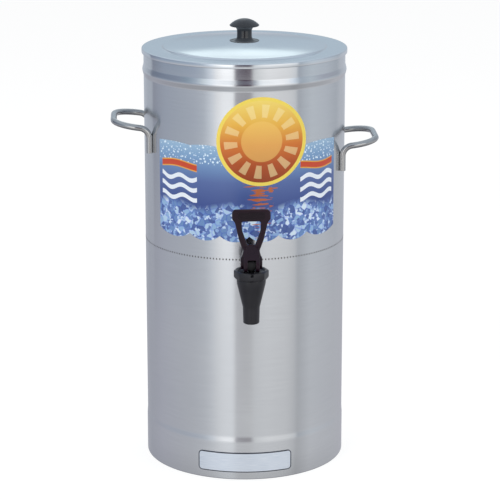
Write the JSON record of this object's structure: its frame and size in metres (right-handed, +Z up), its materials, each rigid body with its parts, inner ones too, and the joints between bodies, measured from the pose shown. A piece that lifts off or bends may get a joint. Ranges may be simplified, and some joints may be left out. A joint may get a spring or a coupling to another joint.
{
  "type": "iced tea dispenser",
  "caption": "Tall cylindrical stainless steel cold drink dispenser with a lift-off lid and knob, two rod handles and a lever tap on the front.",
  "frame": {"origin": "on the drum's axis, in the plane that the foot stands on", "axes": "+Z up along the drum's axis, -Y to the front where the tap is, +X to the right seen from the front"},
  "size_m": [0.3572, 0.3439, 0.5984],
  "materials": {
    "drum_steel": "satin brushed stainless steel",
    "pan_steel": "pressed stainless steel",
    "handle_steel": "polished stainless rod",
    "lid_steel": "satin stainless steel",
    "label_film": "printed vinyl film",
    "plate_foil": "lacquered plate with a black border",
    "tap_plastic": "black moulded plastic",
    "lever_plastic": "black-brown moulded plastic",
    "stem_plastic": "black acetal",
    "silicone": "translucent white silicone",
    "knob_phenolic": "moulded black phenolic",
    "fastener_steel": "bright stainless fasteners"
  },
  "bodies": {
    "body": {"body_shell": "drum_steel", "tank_pan": "pan_steel", "left_handle": "handle_steel", "right_handle": "handle_steel", "front_label": "label_film", "name_plate": "plate_foil", "tap_body": "tap_plastic", "tap_bonnet": "tap_plastic", "shank_gasket_outer": "silicone", "shank_gasket_inner": "silicone", "shank_washer": "fastener_steel", "shank_nut": "tap_plastic"},
    "stem": {"tap_stem": "stem_plastic", "seat_cup": "silicone"},
    "lever": {"tap_lever": "lever_plastic", "lever_pin": "fastener_steel", "lever_tag": "lever_plastic"},
    "lid": {"lid_pan": "lid_steel", "lid_skirt": "lid_steel", "lid_knob": "knob_phenolic", "knob_washer": "fastener_steel", "knob_screw": "fastener_steel"}
  },
  "joints": [
    {"name": "lid_lift", "type": "slide", "parent": "body", "child": "lid", "axis": [0, 0, 1], "range_m": [0, 0.08]},
    {"name": "stem_lift", "type": "slide", "parent": "body", "child": "stem", "axis": [0, 0, 1], "range_m": [0, 0.00366]},
    {"name": "lever_tilt", "type": "hinge", "parent": "stem", "child": "lever", "pos_m": [0, -0.185, 0.3143], "axis": [1, 0, 0], "range_deg": [0, 35], "stiffness_Nm_per_rad": 0.4, "springref_deg": -22.92}
  ],
  "couplings": [
    {"joint": "lever_tilt", "follows": "stem_lift", "rad_per_m": 166.67}
  ]
}
